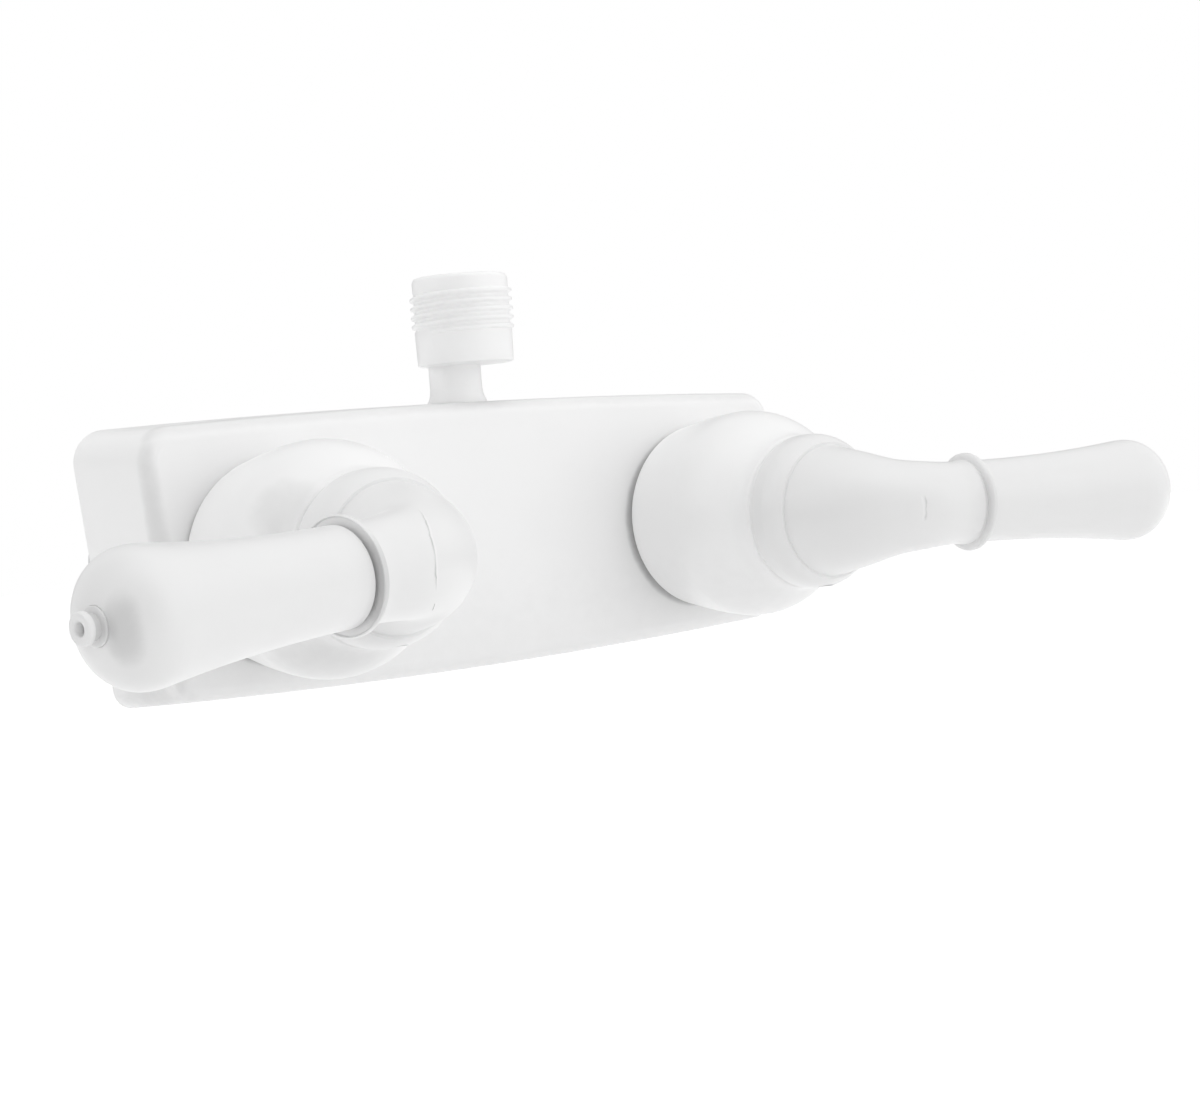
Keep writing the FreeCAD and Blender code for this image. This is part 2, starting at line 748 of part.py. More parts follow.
# Handle: hub with skirt, tilted arm, ring, grip, finial with its tie rod, and a set screw
skirt_start = s.bellTop + s.handleGap
skirt_end = skirt_start + s.skirtHeight
hub_start = skirt_end + s.hubRise
lever_out = hub_start + s.leverRise
set_screw_out = skirt_start + s.setScrewRise


def elbow_sections():
    """Circles from the hub's top round the bend to the arm's end: (across, out, turn, radius)."""
    bend = size_of(90) - s.leverTilt
    pinch_out = hub_start + s.elbowPinchRise
    sections = [
        (size_of(0), hub_start, size_of(0), s.hubRadius),
        (size_of(0), pinch_out, size_of(0), s.elbowRootRadius),
    ]
    low = (bend / 3, s.elbowLowReach, s.elbowLowRadius)
    high = (bend * 2 / 3, s.elbowHighReach, s.elbowHighRadius)
    for turn, reach, radius in (low, high):
        across = s.elbowPinchAcross - reach * cos_of(turn)
        sections.append((across, pinch_out + reach * sin_of(turn), turn, radius))
    root = (s.armRootAt, s.armRootRadius)
    waist = (s.armWaistAt, s.armWaistRadius)
    for along, radius in (root, waist, (s.armEnd, s.armEndRadius)):
        across = along * cos_of(s.leverTilt)
        sections.append((across, lever_out + along * sin_of(s.leverTilt), bend, radius))
    return sections


def make_hub(label, position, angle, screw_side):
    placement = out_of_wall * Placement(Vector(), Rotation(Vector(0, 0, 1), angle))
    body = new_body(label, placement, position=position)
    socket_end = broach_end + s.shellClearance
    turn_profile(body, [
        (0, skirt_start),
        (s.skirtRadius - s.skirtEdge, skirt_start, s.skirtEdge, 1),
        (s.skirtRadius, skirt_start + s.skirtEdge),
        (s.skirtRadius, skirt_end, s.skirtRound, 1),
        (s.hubRadius + s.hubStep, hub_start),
        (0, hub_start),
    ], "skirt")
    sketches = []
    for number, (across, out, turn, radius) in enumerate(elbow_sections(), start=1):
        name = f"elbow_section_{number}"
        sketch = new_sketch(body, "XY_Plane", name, (across, 0, out), turn, Vector(0, 1, 0))
        draw_circle(sketch, 0, 0, radius)
        sketches.append(sketch)
    elbow = body.newObject("PartDesign::AdditiveLoft", "elbow")
    elbow.Profile = sketches[0]
    elbow.Sections = sketches[1:]
    socket = s.broachRadius + s.runningGap
    turn_profile(body, [
        (0, skirt_start), (socket, skirt_start), (socket, socket_end), (0, socket_end),
    ], "stem_socket", cut=True)
    turn_profile(body, [
        (s.tieRodStart - s.shellClearance, 0),
        (s.armEnd, 0),
        (s.armEnd, s.tieRodRadius + s.runningGap),
        (s.tieRodStart - s.shellClearance, s.tieRodRadius + s.runningGap),
    ], "rod_bore", cut=True, axis="H_Axis", shift=(0, lever_out, 0), turn=s.leverTilt)
    hole = new_sketch(body, "XZ_Plane", "set_screw_section")
    draw_circle(hole, 0, set_screw_out, s.setScrewRadius + s.runningGap)
    extrude(body, hole, "set_screw_hole", s.skirtRadius + s.cutOverrun, cut=True, reverse=screw_side > 0)
    return body


ring_start = s.armEnd + s.ringGap
ring_end = ring_start + s.ringThickness
grip_start = ring_end + s.gripGap


def lever_frame(angle):
    """Placement of a piece whose own Z axis is the lever's axis."""
    tilt = Placement(Vector(), Rotation(Vector(0, 1, 0), 90 - float(s.leverTilt)))
    return out_of_wall * Placement(Vector(), Rotation(Vector(0, 0, 1), angle)) * tilt


def make_lever_ring(label, position, placement):
    """A thin disc that stands free of arm and grip, on a collar that joins them."""
    body = new_body(label, placement, position=position)
    round_over = s.ringThickness / 2
    turn_profile(body, [
        (s.tieRodRadius + s.runningGap, s.armEnd),
        (s.ringCollarRadius, s.armEnd),
        (s.ringCollarRadius, ring_start),
        (s.ringRadius - round_over, ring_start, round_over, 1),
        (s.ringRadius, ring_start + round_over, round_over, 1),
        (s.ringRadius - round_over, ring_end),
        (s.ringCollarRadius, ring_end),
        (s.ringCollarRadius, grip_start),
        (s.tieRodRadius + s.runningGap, grip_start),
    ], "ring")
    return body


def make_grip(label, position, placement):
    body = new_body(label, placement, position=position)
    middle, waist_round = ogee((s.bulbRadius, s.bulbAt), (s.gripRootRadius, s.gripWaistAt), s.bulbBlend)
    cap = s.gripEnd - s.bulbAt
    fall = s.bulbRadius - s.gripShoulder
    cap_round = (cap * cap + fall * fall) / (fall * 2)
    turn_profile(body, [
        (s.tieRodRadius + s.runningGap, grip_start),
        (s.gripRootRadius, grip_start),
        (s.gripRootRadius, s.gripWaistAt, waist_round, -1),
        (middle[0], middle[1], s.bulbBlend, 1),
        (s.bulbRadius, s.bulbAt, cap_round, 1),
        (s.gripShoulder, s.gripEnd),
        (s.tieRodRadius + s.runningGap, s.gripEnd),
    ], "grip")
    return body


def make_finial(label, position, placement):
    body = new_body(label, placement, position=position)
    plate_end = s.gripEnd + s.finialPlate
    step_end = plate_end + s.finialStep
    knob_end = step_end + s.finialKnob
    edge = s.finialPlate / 2
    turn_profile(body, [
        (0, s.tieRodStart),
        (s.tieRodRadius, s.tieRodStart),
        (s.tieRodRadius, s.gripEnd),
        (s.gripShoulder, s.gripEnd),
        (s.gripShoulder, s.gripEnd + edge, edge, 1),
        (s.gripShoulder - edge, plate_end),
        (s.finialStepRadius, plate_end),
        (s.finialStepRadius, step_end),
        (s.finialKnobRadius, step_end),
        (s.finialKnobRadius, knob_end),
        (s.finialDimple, knob_end),
        (s.finialDimple, knob_end - s.finialDimpleDepth),
        (0, knob_end - s.finialDimpleDepth),
    ], "finial")
    return body


def make_set_screw(label, position, angle, screw_side):
    placement = out_of_wall * Placement(Vector(), Rotation(Vector(0, 0, 1), angle))
    body = new_body(label, placement, position=position)
    start = (s.broachRadius + s.runningGap * 2) * screw_side
    inner = new_sketch(body, "XZ_Plane", "screw_section", shift=(0, 0, start))
    draw_circle(inner, 0, set_screw_out, s.setScrewRadius)
    extrude(body, inner, "screw", s.setScrewLength, reverse=screw_side < 0)
    end = (s.broachRadius + s.runningGap * 2 + s.setScrewLength) * screw_side
    socket = new_sketch(body, "XZ_Plane", "socket_section", shift=(0, 0, end))
    draw_circle(socket, 0, set_screw_out, s.socketRadius)
    extrude(body, socket, "socket", s.socketDepth, cut=True, reverse=screw_side < 0)
    return body


nodes = [make_waterway(), make_shell(), make_shell_screws(), make_outlet()]
upright_rings = Placement(Vector(), Rotation())
outlet_seal_at = (0, -s.neckOut, s.outletSealAt)
nodes.append(make_seal_ring("outlet_seal", outlet_groove, upright_rings, outlet_seal_at))

for name, side, turn in (("hot", -1, 180 + float(s.hotRest)), ("cold", 1, -float(s.coldRest))):
    at_valve = (s.inletSpacing * side / 2, 0, 0)
    at_lever = (s.inletSpacing * side / 2, -lever_out, 0)
    nodes.append(make_seat_seal(f"{name}_seat_seal", at_valve))
    nodes.append(make_disc(f"{name}_fixed_disc", at_valve, disc_start, 90, False))
    nodes.append(make_disc(f"{name}_moving_disc", at_valve, moving_start, turn, True))
    nodes.append(make_sleeve(f"{name}_cartridge_sleeve", at_valve))
    nodes.append(make_stem(f"{name}_stem", at_valve, turn))
    rings = []
    for number in range(seals_per_stem):
        out = s.stemSealAt + s.stemSealPitch * number
        ring_at = (s.inletSpacing * side / 2, -out, 0)
        rings.append(make_seal_ring(f"{name}_stem_seal_{number + 1}", stem_groove, None, ring_at))
    group = doc.addObject("Part::Compound", f"{name}_stem_seals")
    group.Label = f"{name}_stem_seals"
    group.Links = rings
    nodes.append(group)
    nodes.append(make_bonnet_nut(f"{name}_bonnet_nut", at_valve))
    nodes.append(make_bell(f"{name}_bell", at_valve))
    nodes.append(make_hub(f"{name}_handle_hub", at_valve, turn, side))
    lever = lever_frame(turn)
    nodes.append(make_lever_ring(f"{name}_lever_ring", at_lever, lever))
    nodes.append(make_grip(f"{name}_lever_grip", at_lever, lever))
    nodes.append(make_finial(f"{name}_lever_finial", at_lever, lever))
    nodes.append(make_set_screw(f"{name}_set_screw", at_valve, turn, side))

doc.recompute()
for thing in doc.Objects:
    if {"Invalid", "Error"} & set(thing.State):
        raise RuntimeError(f"{thing.Label} failed: {thing.State}")
os.makedirs("parts", exist_ok=True)
for node in nodes:
    if node.Shape.isNull() or not node.Shape.isValid():
        raise RuntimeError(f"{node.Label} has no valid shape")
    node.Shape.exportStep(f"parts/{node.Label}.step")
    box = node.Shape.optimalBoundingBox(False, False)
    ends = (box.XMin, box.XMax, box.YMin, box.YMax, box.ZMin, box.ZMax)
    places = " ".join(f"{end:7.1f}" for end in ends)
    print(f"{node.Label:24s} solids {len(node.Shape.Solids)} volume {node.Shape.Volume:9.1f} box {places}")
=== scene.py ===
import json
import math

import bpy
from mathutils import Matrix, Vector


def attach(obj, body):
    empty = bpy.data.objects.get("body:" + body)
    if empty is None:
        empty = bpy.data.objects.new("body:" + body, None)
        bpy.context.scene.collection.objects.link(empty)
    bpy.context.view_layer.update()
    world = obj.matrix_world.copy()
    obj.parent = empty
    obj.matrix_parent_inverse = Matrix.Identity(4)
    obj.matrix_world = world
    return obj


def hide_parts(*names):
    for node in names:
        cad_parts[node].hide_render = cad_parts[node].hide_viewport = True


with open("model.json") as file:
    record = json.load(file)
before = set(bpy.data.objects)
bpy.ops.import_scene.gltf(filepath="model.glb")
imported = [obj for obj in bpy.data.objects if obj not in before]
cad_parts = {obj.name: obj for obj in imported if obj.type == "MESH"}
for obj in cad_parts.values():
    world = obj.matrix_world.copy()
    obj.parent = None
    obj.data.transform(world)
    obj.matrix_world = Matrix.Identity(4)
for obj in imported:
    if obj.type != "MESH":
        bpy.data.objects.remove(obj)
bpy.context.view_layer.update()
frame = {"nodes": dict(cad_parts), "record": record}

# Camera, fitted to the photograph
camera = {
    "place": (-0.220221, -0.348271, 0.014506),
    "yaw": -37.218,
    "pitch": -2.755,
    "roll": -4.498,
    "lens": 58.127,
}
yaw, pitch, roll = (math.radians(camera[k]) for k in ("yaw", "pitch", "roll"))
viewDir = Vector((
    -math.sin(yaw) * math.cos(pitch), math.cos(yaw) * math.cos(pitch), math.sin(pitch)))
levelRight = viewDir.cross(Vector((0, 0, 1))).normalized()
levelUp = levelRight.cross(viewDir)
camRight = levelRight * math.cos(roll) + levelUp * math.sin(roll)
camUp = levelUp * math.cos(roll) - levelRight * math.sin(roll)
camData = bpy.data.cameras.new("photoCamera")
camData.sensor_fit = "HORIZONTAL"
camData.sensor_width = 36
camData.lens = camera["lens"]
camData.clip_start = 0.01
camObj = bpy.data.objects.new("photoCamera", camData)
bpy.context.scene.collection.objects.link(camObj)
camTurn = Matrix((camRight, camUp, -viewDir)).transposed().to_4x4()
camObj.matrix_world = Matrix.Translation(camera["place"]) @ camTurn
bpy.context.scene.camera = camObj
print("camera placed")


# Small helpers for modelling
def clearSelection():
    if bpy.context.object and bpy.context.object.mode != "OBJECT":
        bpy.ops.object.mode_set(mode="OBJECT")
    bpy.ops.object.select_all(action="DESELECT")


def pick(piece):
    clearSelection()
    piece.select_set(True)
    bpy.context.view_layer.objects.active = piece


def turned(name, rings, segments=96, at=(0, 0, 0)):
    # rings are (radius, height) in mm from one end to the other, both ends flat
    clearSelection()
    firstRadius, firstHeight = rings[0]
    bpy.ops.mesh.primitive_circle_add(
        vertices=segments, radius=firstRadius / 1000, fill_type="NGON",
        location=(at[0], at[1], at[2] + firstHeight / 1000))
    piece = bpy.context.object
    piece.name = name
    bpy.ops.object.mode_set(mode="EDIT")
    bpy.ops.mesh.select_all(action="SELECT")
    for (radius, height), (lastRadius, lastHeight) in zip(rings[1:], rings):
        rise = (height - lastHeight) / 1000
        bpy.ops.mesh.extrude_region_move(TRANSFORM_OT_translate={"value": (0, 0, rise)})
        grow = radius / lastRadius
        centre = (at[0], at[1], at[2] + height / 1000)
        bpy.ops.transform.resize(value=(grow, grow, 1), center_override=centre)
    bpy.ops.mesh.select_all(action="SELECT")
    bpy.ops.mesh.normals_make_consistent(inside=False)
    bpy.ops.object.mode_set(mode="OBJECT")
    settle(piece)
    return piece


def settle(piece):
    pick(piece)
    bpy.ops.object.transform_apply(location=True, rotation=True, scale=True)


def combine(piece, tool, operation):
    pick(piece)
    cut = piece.modifiers.new("combine", "BOOLEAN")
    cut.operation = operation
    cut.solver = "EXACT"
    cut.object = tool
    bpy.ops.object.modifier_apply(modifier=cut.name)
    bpy.data.objects.remove(tool)


def smoothShade(piece, angle=40):
    pick(piece)
    bpy.ops.object.shade_smooth_by_angle(angle=math.radians(angle))


# Surface groups and materials
def newGroup(name, inputs, outputs):
    group = bpy.data.node_groups.new(name, "ShaderNodeTree")
    for socketName, kind, default in inputs:
        socket = group.interface.new_socket(socketName, in_out="INPUT", socket_type=kind)
        socket.default_value = default
    for socketName, kind in outputs:
        group.interface.new_socket(socketName, in_out="OUTPUT", socket_type=kind)
    return group, group.nodes.new("NodeGroupInput"), group.nodes.new("NodeGroupOutput")


def feed(tree, value, socket):
    # a number is set on the socket, and another socket is linked to it
    if isinstance(value, (int, float)):
        socket.default_value = value
    else:
        tree.links.new(value, socket)


def objectCoords(tree):
    return tree.nodes.new("ShaderNodeTexCoord").outputs["Object"]


def addNoise(tree, coords, scale, detail=3.0, rough=0.5):
    noise = tree.nodes.new("ShaderNodeTexNoise")
    noise.inputs["Detail"].default_value = detail
    noise.inputs["Roughness"].default_value = rough
    feed(tree, scale, noise.inputs["Scale"])
    tree.links.new(coords, noise.inputs["Vector"])
    return noise.outputs["Fac"]


def addRange(tree, value, span, ends, smooth=False):
    # the two ends of the span become the two ends given
    node = tree.nodes.new("ShaderNodeMapRange")
    node.interpolation_type = "SMOOTHSTEP" if smooth else "LINEAR"
    tree.links.new(value, node.inputs["Value"])
    for socket, end in zip(("From Min", "From Max", "To Min", "To Max"), span + ends):
        feed(tree, end, node.inputs[socket])
    return node.outputs["Result"]


def addMath(tree, operation, first, second=0.0):
    node = tree.nodes.new("ShaderNodeMath")
    node.operation = operation
    for number, value in enumerate((first, second)):
        feed(tree, value, node.inputs[number])
    return node.outputs["Value"]


def addVector(tree, operation, first, second=None):
    node = tree.nodes.new("ShaderNodeVectorMath")
    node.operation = operation
    tree.links.new(first, node.inputs[0])
    if second is not None:
        tree.links.new(second, node.inputs["Scale" if operation == "SCALE" else 1])
    return node.outputs["Value" if operation in ("DOT_PRODUCT", "LENGTH") else "Vector"]


def addTaper(tree, distance, width):
    # 1 at no distance, 0 at the width and past it
    share = addMath(tree, "DIVIDE", addMath(tree, "ABSOLUTE", distance), width)
    return addMath(tree, "SUBTRACT", 1.0, addMath(tree, "MINIMUM", share, 1.0))


def addBump(tree, height, distance, strength):
    node = tree.nodes.new("ShaderNodeBump")
    node.inputs["Distance"].default_value = distance
    tree.links.new(height, node.inputs["Height"])
    feed(tree, strength, node.inputs["Strength"])
    return node


noiseSpan = (0.3, 0.7)  # nearly all of a noise lies in here
skinOutputs = [
    ("Color", "NodeSocketColor"), ("Roughness", "NodeSocketFloat"), ("Normal", "NodeSocketVector")]


# Moulded skin: faint flow clouding, handling dust and a fine orange-peel bump
def makeMouldedSkin():
    smearScale, waveScale, grainShare, bumpDepth = 120.0, 160.0, 0.35, 0.0004
    group, start, end = newGroup("mouldedSkin", [
        ("Color", "NodeSocketColor", (0.8, 0.8, 0.8, 1)),
        ("Clouding", "NodeSocketFloat", 0.02),
        ("Cloud Scale", "NodeSocketFloat", 40.0),
        ("Gloss", "NodeSocketFloat", 0.3),
        ("Gloss Change", "NodeSocketFloat", 0.06),
        ("Grain Scale", "NodeSocketFloat", 1800.0),
        ("Grain Depth", "NodeSocketFloat", 0.05),
    ], skinOutputs)
    coords = objectCoords(group)
    cloud = addNoise(group, coords, start.outputs["Cloud Scale"], 4)
    lighter = addMath(group, "ADD", 1.0, start.outputs["Clouding"])
    darker = addMath(group, "SUBTRACT", 1.0, start.outputs["Clouding"])
    shade = addRange(group, cloud, noiseSpan, (darker, lighter))
    clouded = addVector(group, "SCALE", start.outputs["Color"], shade)
    group.links.new(clouded, end.inputs["Color"])
    smear = addNoise(group, coords, smearScale, 5, 0.6)
    low = addMath(group, "SUBTRACT", start.outputs["Gloss"], start.outputs["Gloss Change"])
    high = addMath(group, "ADD", start.outputs["Gloss"], start.outputs["Gloss Change"])
    group.links.new(addRange(group, smear, noiseSpan, (low, high)), end.inputs["Roughness"])
    grain = addNoise(group, coords, start.outputs["Grain Scale"], 2)
    wave = addNoise(group, coords, waveScale, 1)
    height = addMath(group, "ADD", addMath(group, "MULTIPLY", grain, grainShare), wave)
    bump = addBump(group, height, bumpDepth, start.outputs["Grain Depth"])
    group.links.new(bump.outputs["Normal"], end.inputs["Normal"])
    return group


mouldedSkin = makeMouldedSkin()


# Turned skin: fine tool rings around an axis, with stains
def makeTurnedSkin():
    stainScale, ringDistortion, bumpDepth = 90.0, 0.4, 0.0002
    group, start, end = newGroup("turnedSkin", [
        ("Color", "NodeSocketColor", (0.8, 0.6, 0.3, 1)),
        ("Stain", "NodeSocketColor", (0.5, 0.35, 0.15, 1)),
        ("Stain Amount", "NodeSocketFloat", 0.3),
        ("Gloss", "NodeSocketFloat", 0.3),
        ("Ring Scale", "NodeSocketFloat", 900.0),
        ("Ring Depth", "NodeSocketFloat", 0.1),
    ], skinOutputs)
    coords = objectCoords(group)
    stain = addNoise(group, coords, stainScale, 6, 0.65)
    stain = addRange(group, stain, noiseSpan, (0.0, start.outputs["Stain Amount"]))
    mix = group.nodes.new("ShaderNodeMix")
    mix.data_type = "RGBA"
    group.links.new(stain, mix.inputs["Factor"])
    group.links.new(start.outputs["Color"], mix.inputs["A"])
    group.links.new(start.outputs["Stain"], mix.inputs["B"])
    group.links.new(mix.outputs["Result"], end.inputs["Color"])
    group.links.new(addMath(group, "ADD", start.outputs["Gloss"], stain), end.inputs["Roughness"])
    rings = group.nodes.new("ShaderNodeTexWave")
    rings.wave_type = "BANDS"
    rings.bands_direction = "Y"
    rings.inputs["Distortion"].default_value = ringDistortion
    group.links.new(coords, rings.inputs["Vector"])
    group.links.new(start.outputs["Ring Scale"], rings.inputs["Scale"])
    bump = addBump(group, rings.outputs["Fac"], bumpDepth, start.outputs["Ring Depth"])
    group.links.new(bump.outputs["Normal"], end.inputs["Normal"])
    return group


turnedSkin = makeTurnedSkin()


# Seam line: a thin mould line round the arm, given by the plane it lies in, raised by a bump, with
# painted shade along it and a painted highlight on its lip beside it
def makeSeamLineShading():
    wanderScale, wanderOut, breakScale, breakSpan = 260.0, 0.00025, 150.0, (0.2, 1.0)
    fadeSlope, lipAt, highlightGain = 3.0, 0.00035, 0.06  # a painted highlight runs beside the line, on its lip
    bumpDepth, bumpStrength = 0.0002, 0.6
    group, start, end = newGroup("seamLineShading", [
        ("Color", "NodeSocketColor", (0.8, 0.8, 0.8, 1)),
        ("Normal", "NodeSocketVector", (0, 0, 0)),
        ("Axis", "NodeSocketVector", (1, 0, 0)),
        ("Offset", "NodeSocketFloat", 0.0),
        ("Width", "NodeSocketFloat", 0.0002),
        ("Darkness", "NodeSocketFloat", 0.3),
        ("Middle", "NodeSocketFloat", 0.0),
        ("Reach", "NodeSocketFloat", 0.01),
    ], [("Color", "NodeSocketColor"), ("Normal", "NodeSocketVector")])
    coords = objectCoords(group)
    along = addVector(group, "DOT_PRODUCT", coords, start.outputs["Axis"])
    wander = addNoise(group, coords, wanderScale, 3)
    wander = addRange(group, wander, noiseSpan, (-wanderOut, wanderOut))
    place = addMath(group, "ADD", along, wander)
    offset = addMath(group, "SUBTRACT", place, start.outputs["Offset"])
    line = addTaper(group, offset, start.outputs["Width"])
    broken = addRange(group, addNoise(group, coords, breakScale, 2), noiseSpan, breakSpan)
    line = addMath(group, "MULTIPLY", line, broken)
    height = group.nodes.new("ShaderNodeSeparateXYZ")
    group.links.new(coords, height.inputs[0])
    beyond = addMath(group, "SUBTRACT", height.outputs["Z"], start.outputs["Middle"])
    fade = addTaper(group, beyond, start.outputs["Reach"])
    fade = addMath(group, "MINIMUM", addMath(group, "MULTIPLY", fade, fadeSlope), 1.0)
    line = addMath(group, "MULTIPLY", line, fade)
    # painted highlight: a lighter stroke on the lip beside the line
    beside = addMath(group, "SUBTRACT", start.outputs["Offset"], place)
    beside = addMath(group, "SUBTRACT", beside, lipAt)
    lipHighlight = addMath(group, "MULTIPLY", addTaper(group, beside, start.outputs["Width"]), fade)
    # painted shade darkens the line, and the painted highlight lightens its lip
    shade = addMath(group, "MULTIPLY", line, start.outputs["Darkness"])
    shade = addMath(group, "SUBTRACT", 1.0, shade)
    shade = addMath(group, "ADD", shade, addMath(group, "MULTIPLY", lipHighlight, highlightGain))
    shaded = addVector(group, "SCALE", start.outputs["Color"], shade)
    group.links.new(shaded, end.inputs["Color"])
    bump = addBump(group, line, bumpDepth, bumpStrength)
    bump.invert = True
    group.links.new(start.outputs["Normal"], bump.inputs["Normal"])
    group.links.new(bump.outputs["Normal"], end.inputs["Normal"])
    return group


seamLineShading = makeSeamLineShading()


# Painted shade: a soft dark spot, band or ring of painted shade round a point, as wide as Along and
# Across say
def makePaintedShadeMark():
    edgeScale, edgeOut = 400.0, 0.08
    group, start, end = newGroup("paintedShadeMark", [
        ("Color", "NodeSocketColor", (0.8, 0.8, 0.8, 1)),
        ("Centre", "NodeSocketVector", (0, 0, 0)),
        ("Axis", "NodeSocketVector", (0, 0, 1)),
        ("Along", "NodeSocketFloat", 0.001),
        ("Across", "NodeSocketFloat", 0.001),
        ("Radius", "NodeSocketFloat", 0.0),
        ("Darkness", "NodeSocketFloat", 0.3),
    ], [("Color", "NodeSocketColor")])
    coords = objectCoords(group)
    offset = addVector(group, "SUBTRACT", coords, start.outputs["Centre"])
    along = addVector(group, "DOT_PRODUCT", offset, start.outputs["Axis"])
    across = addVector(group, "CROSS_PRODUCT", offset, start.outputs["Axis"])
    across = addVector(group, "LENGTH", across)
    along = addMath(group, "DIVIDE", along, start.outputs["Along"])
    across = addMath(group, "SUBTRACT", across, start.outputs["Radius"])
    across = addMath(group, "DIVIDE", across, start.outputs["Across"])
    along, across = (addMath(group, "POWER", share, 2.0) for share in (along, across))
    edge = addRange(group, addNoise(group, coords, edgeScale, 3), noiseSpan, (-edgeOut, edgeOut))
    away = addMath(group, "ADD", addMath(group, "ADD", along, across), edge)
    mark = addRange(group, away, (0, 1), (1, 0), smooth=True)
    shade = addMath(group, "MULTIPLY", mark, start.outputs["Darkness"])
    shade = addMath(group, "SUBTRACT", 1.0, shade)
    marked = addVector(group, "SCALE", start.outputs["Color"], shade)
    group.links.new(marked, end.inputs["Color"])
    return group


paintedShadeMark = makePaintedShadeMark()


def addPaintedShade(material, centre, axis, along, across, darkness, radius=0):
    # darkens the colour with painted shade; centre, reaches and radius in mm
    tree = material.node_tree
    colour = tree.nodes["Principled BSDF"].inputs["Base Color"]
    mark = tree.nodes.new("ShaderNodeGroup")
    mark.node_tree = paintedShadeMark
    mark.inputs["Centre"].default_value = Vector(centre) / 1000
    mark.inputs["Axis"].default_value = axis
    mark.inputs["Along"].default_value = along / 1000
    mark.inputs["Across"].default_value = across / 1000
    mark.inputs["Radius"].default_value = radius / 1000
    mark.inputs["Darkness"].default_value = darkness
    tree.links.new(colour.links[0].from_socket, mark.inputs["Color"])
    tree.links.new(mark.outputs["Color"], colour)


def newMaterial(name, skin, values, shader):
    material = bpy.data.materials.new(name)
    material.use_nodes = True
    tree = material.node_tree
    surface = tree.nodes["Principled BSDF"]
    for socket, value in shader.items():
        surface.inputs[socket].default_value = value
    group = tree.nodes.new("ShaderNodeGroup")
    group.node_tree = skin
    for socket, value in values.items():
        group.inputs[socket].default_value = value
    tree.links.new(group.outputs["Color"], surface.inputs["Base Color"])
    tree.links.new(group.outputs["Roughness"], surface.inputs["Roughness"])
    tree.links.new(group.outputs["Normal"], surface.inputs["Normal"])
    return material


# The levers are a touch darker than shell and bells, the outlet lighter
tones = {"whitePlastic": 0.905, "leverPlastic": 0.82, "outletPlastic": 0.935}
whitePlastic, leverPlastic, outletPlastic = (newMaterial(name, mouldedSkin, {
    "Color": (tone, tone, tone, 1), "Clouding": 0.01, "Cloud Scale": 35, "Gloss": 0.36,
    "Gloss Change": 0.05, "Grain Scale": 1500, "Grain Depth": 0.04,
}, {"IOR": 1.55, "Specular IOR Level": 0.6}) for name, tone in tones.items())
greyPlastic = newMaterial("greyPlastic", mouldedSkin, {
    "Color": (0.66, 0.665, 0.67, 1), "Clouding": 0.05, "Cloud Scale": 60, "Gloss": 0.55,
    "Gloss Change": 0.08, "Grain Scale": 2400, "Grain Depth": 0.25,
}, {"IOR": 1.5})
ceramicDisc = newMaterial("ceramicDisc", mouldedSkin, {
    "Color": (0.84, 0.82, 0.76, 1), "Clouding": 0.02, "Cloud Scale": 200, "Gloss": 0.22,
    "Gloss Change": 0.05, "Grain Scale": 4000, "Grain Depth": 0.03,
}, {"IOR": 1.7})
sealRubber = newMaterial("sealRubber", mouldedSkin, {
    "Color": (0.025, 0.025, 0.027, 1), "Clouding": 0.15, "Cloud Scale": 150, "Gloss": 0.6,
    "Gloss Change": 0.1, "Grain Scale": 3000, "Grain Depth": 0.3,
}, {"IOR": 1.5})
brassMetal = newMaterial("brassMetal", turnedSkin, {
    "Color": (0.72, 0.49, 0.19, 1), "Stain": (0.42, 0.25, 0.10, 1), "Stain Amount": 0.3,
    "Gloss": 0.25, "Ring Scale": 500, "Ring Depth": 0.2,
}, {"Metallic": 1.0})
screwSteel = newMaterial("screwSteel", turnedSkin, {
    "Color": (0.55, 0.55, 0.56, 1), "Stain": (0.30, 0.29, 0.28, 1), "Stain Amount": 0.25,
    "Gloss": 0.3, "Ring Scale": 700, "Ring Depth": 0.15,
}, {"Metallic": 1.0})


seamNormal = (0.948, 0.317, -0.037)  # of the plane that the cold hub's mould line lies in


def hubMaterial(name, side, seamAt, marks):
    # the lever plastic with stretches of one raised mould line, painted darker along it with a
    # painted highlight beside it: (middle height, half length, darkness)
    material = leverPlastic.copy()
    material.name = name
    tree = material.node_tree
    surface = tree.nodes["Principled BSDF"]
    for middle, reach, darkness in marks:
        seam = tree.nodes.new("ShaderNodeGroup")
        seam.node_tree = seamLineShading
        seam.inputs["Axis"].default_value = (side * seamNormal[0], *seamNormal[1:])
        seam.inputs["Offset"].default_value = seamAt / 1000
        seam.inputs["Middle"].default_value = middle / 1000
        seam.inputs["Reach"].default_value = reach / 1000
        seam.inputs["Darkness"].default_value = darkness
        for socket, port in (("Base Color", "Color"), ("Normal", "Normal")):
            source = surface.inputs[socket].links[0].from_socket
            tree.links.new(source, seam.inputs[port])
            tree.links.new(seam.outputs[port], surface.inputs[socket])
    return material


# Finishes of single nodes, each with its own marks of painted shade, on the hubs also painted
# highlights beside the mould lines
ownFinishes = {
    # mould lines on the hubs, with painted shade along them and painted highlights beside
    "hot_handle_hub": hubMaterial("hotHubPlastic", -1, 25.66, [(1.8, 6.6, 0.42), (-7.4, 0.7, 0.6)]),
    "cold_handle_hub": hubMaterial("coldHubPlastic", 1, 23.3, [(-0.4, 2.6, 0.35)]),
}
for node in ("body_shell", "hot_bell", "cold_bell"):
    ownFinishes[node] = whitePlastic.copy()
    ownFinishes[node].name = node + "Plastic"
